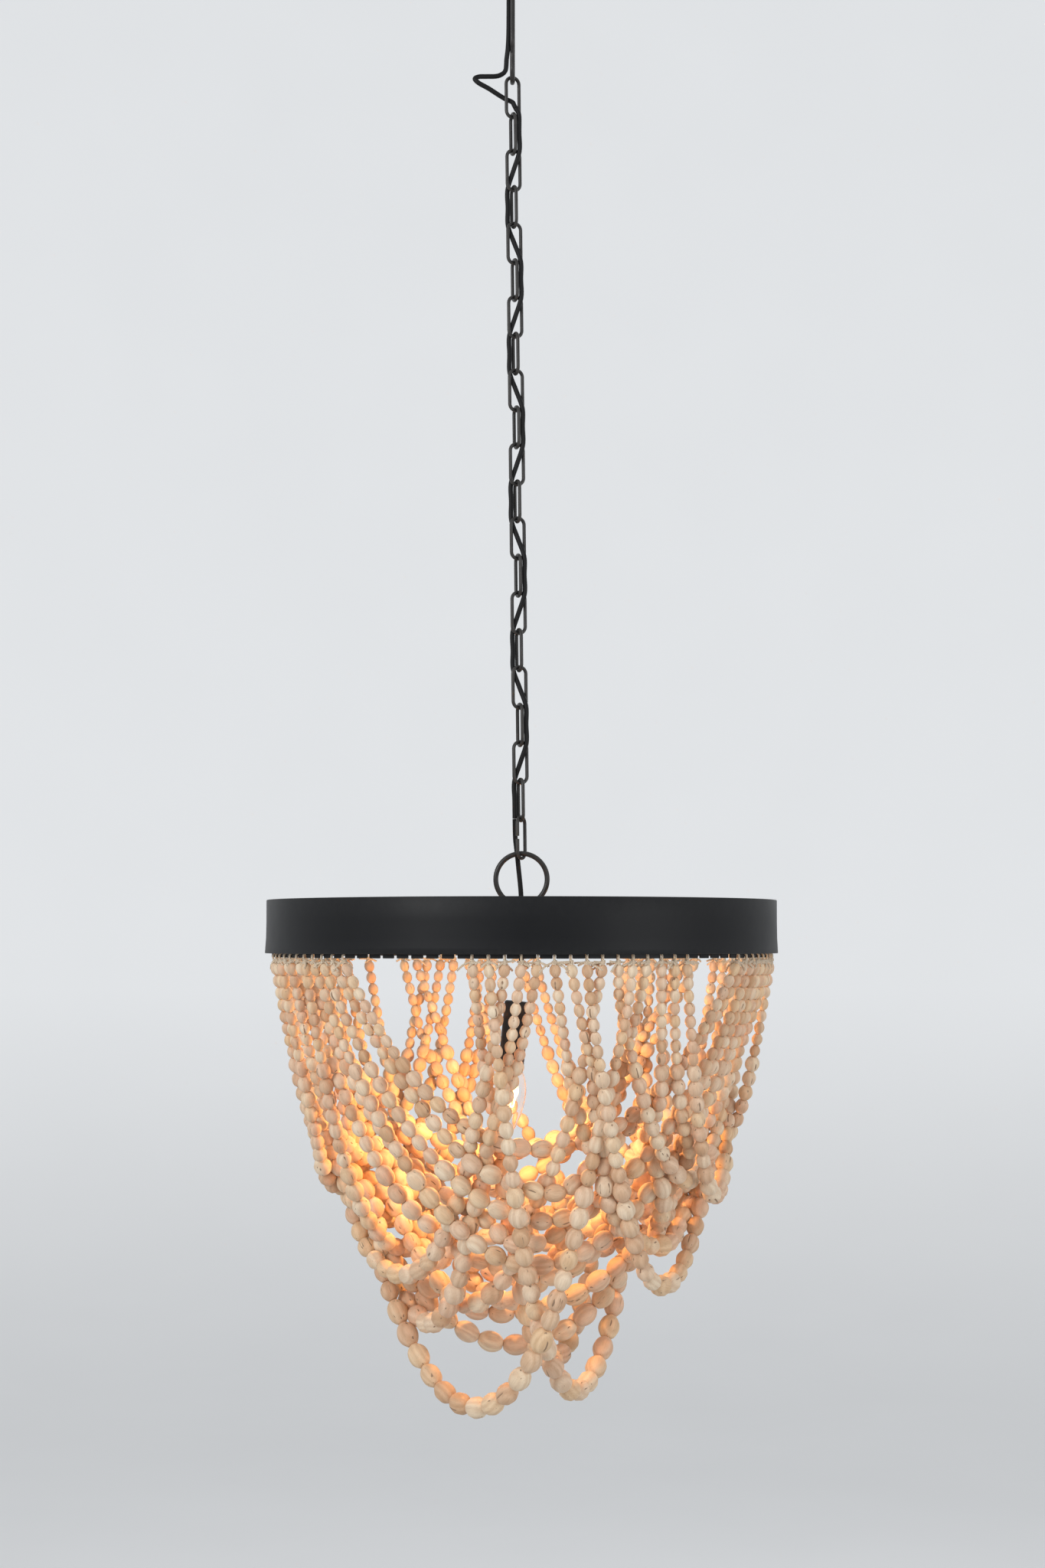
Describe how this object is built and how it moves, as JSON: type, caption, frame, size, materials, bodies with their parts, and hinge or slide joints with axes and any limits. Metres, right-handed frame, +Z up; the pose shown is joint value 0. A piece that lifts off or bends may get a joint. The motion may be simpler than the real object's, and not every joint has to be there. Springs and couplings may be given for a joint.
{
  "type": "beaded chandelier",
  "caption": "Ceiling pendant: a black metal hoop on a chain, hung with draped swags of graded wooden beads around one clear candle lamp.",
  "frame": {"origin": "middle of the ceiling plate's top face, where it meets the ceiling", "axes": "+Z up into the ceiling, -Y towards the viewer, +X to the viewer's right"},
  "size_m": [0.5, 0.5, 1.4356],
  "materials": {
    "black_metal": "matte black powder coat with a slight sheen",
    "chain_metal": "satin black wire",
    "wood_bead": "raw pale wood, unvarnished, with fine dark grain",
    "cord": "black round sheath, satin",
    "holder_plastic": "black, satin",
    "socket_insert": "off-white insulating insert",
    "lamp_brass": "bright rolled brass",
    "clear_glass": "clear blown glass",
    "filament": "glowing wire"
  },
  "bodies": {
    "ceiling": {"ceiling_plate": "black_metal", "canopy": "black_metal", "canopy_bush": "holder_plastic", "hook": "black_metal", "hook_nut": "black_metal", "cord_from_ceiling": "cord"},
    "first_link": {"chain_link_01": "chain_metal"},
    "chain": {"chain_link_02": "chain_metal", "chain_link_03": "chain_metal", "chain_link_04": "chain_metal", "chain_link_05": "chain_metal", "chain_link_06": "chain_metal", "chain_link_07": "chain_metal", "chain_link_08": "chain_metal", "chain_link_09": "chain_metal", "chain_link_10": "chain_metal", "chain_link_11": "chain_metal", "chain_link_12": "chain_metal", "chain_link_13": "chain_metal", "chain_link_14": "chain_metal", "chain_link_15": "chain_metal", "chain_link_16": "chain_metal", "chain_link_17": "chain_metal", "chain_link_18": "chain_metal", "chain_link_19": "chain_metal", "chain_link_20": "chain_metal", "chain_link_21": "chain_metal", "cord_in_chain": "cord"},
    "ring": {"hanging_ring": "black_metal"},
    "hoop": {"band": "black_metal", "bead_rail": "black_metal", "hub_plate": "black_metal", "spoke_1": "black_metal", "spoke_2": "black_metal", "spoke_3": "black_metal", "hanging_eye": "black_metal", "cord_grip": "holder_plastic", "cord_to_hoop": "cord", "strand_front_upper": "wood_bead", "strand_front_middle": "wood_bead", "strand_front_lower": "wood_bead", "strand_left_upper": "wood_bead", "strand_left_lower": "wood_bead", "strand_right_upper": "wood_bead", "strand_right_lower": "wood_bead", "strand_back_upper": "wood_bead", "strand_low_left_inner": "wood_bead", "strand_low_left_outer": "wood_bead", "strand_low_right_outer": "wood_bead", "strand_low_back": "wood_bead"},
    "holder": {"cord_to_lamp": "cord", "holder_shell": "holder_plastic", "holder_grip": "holder_plastic", "lamp_socket": "socket_insert", "socket_contact": "lamp_brass"},
    "contact": {"lamp_contact": "lamp_brass"},
    "lamp": {"lamp_cap": "lamp_brass", "lamp_glass": "clear_glass", "lamp_stem": "clear_glass", "lamp_filament": "filament"}
  },
  "joints": [
    {"name": "chain_side_swing", "type": "hinge", "parent": "ceiling", "child": "first_link", "pos_m": [0, 0, -0.129], "axis": [0, 1, 0], "range_deg": [-10, 10], "deforming": ["cord_from_ceiling", "cord_in_chain"]},
    {"name": "chain_fore_swing", "type": "hinge", "parent": "first_link", "child": "chain", "pos_m": [0.00042, 0, -0.16525], "axis": [0.9396, 0.342, 0.0109], "range_deg": [-10, 10], "deforming": ["cord_from_ceiling", "cord_in_chain"]},
    {"name": "ring_side_swing", "type": "hinge", "parent": "chain", "child": "ring", "pos_m": [0.009, 0, -0.9052], "axis": [0, 1, 0], "range_deg": [-12, 12], "deforming": ["cord_to_hoop"]},
    {"name": "hoop_fore_swing", "type": "hinge", "parent": "ring", "child": "hoop", "pos_m": [0.009, 0, -0.9508], "axis": [1, 0, 0], "range_deg": [-8, 8], "deforming": ["cord_to_hoop"]},
    {"name": "lamp_swing", "type": "hinge", "parent": "hoop", "child": "holder", "pos_m": [0.009, 0.0128, -0.9879], "axis": [0, 1, 0], "range_deg": [-6, 6]},
    {"name": "lamp_out", "type": "slide", "parent": "holder", "child": "contact", "axis": [-0.1011, 0, -0.9949], "range_m": [0, 0.01692]},
    {"name": "lamp_turn", "type": "hinge", "parent": "contact", "child": "lamp", "pos_m": [0.0051, 0.005, -1.0449], "axis": [-0.1011, 0, -0.9949], "range_deg": [0, 2160]}
  ],
  "couplings": [
    {"joint": "lamp_turn", "follows": "lamp_out", "rad_per_m": 2228.1}
  ]
}
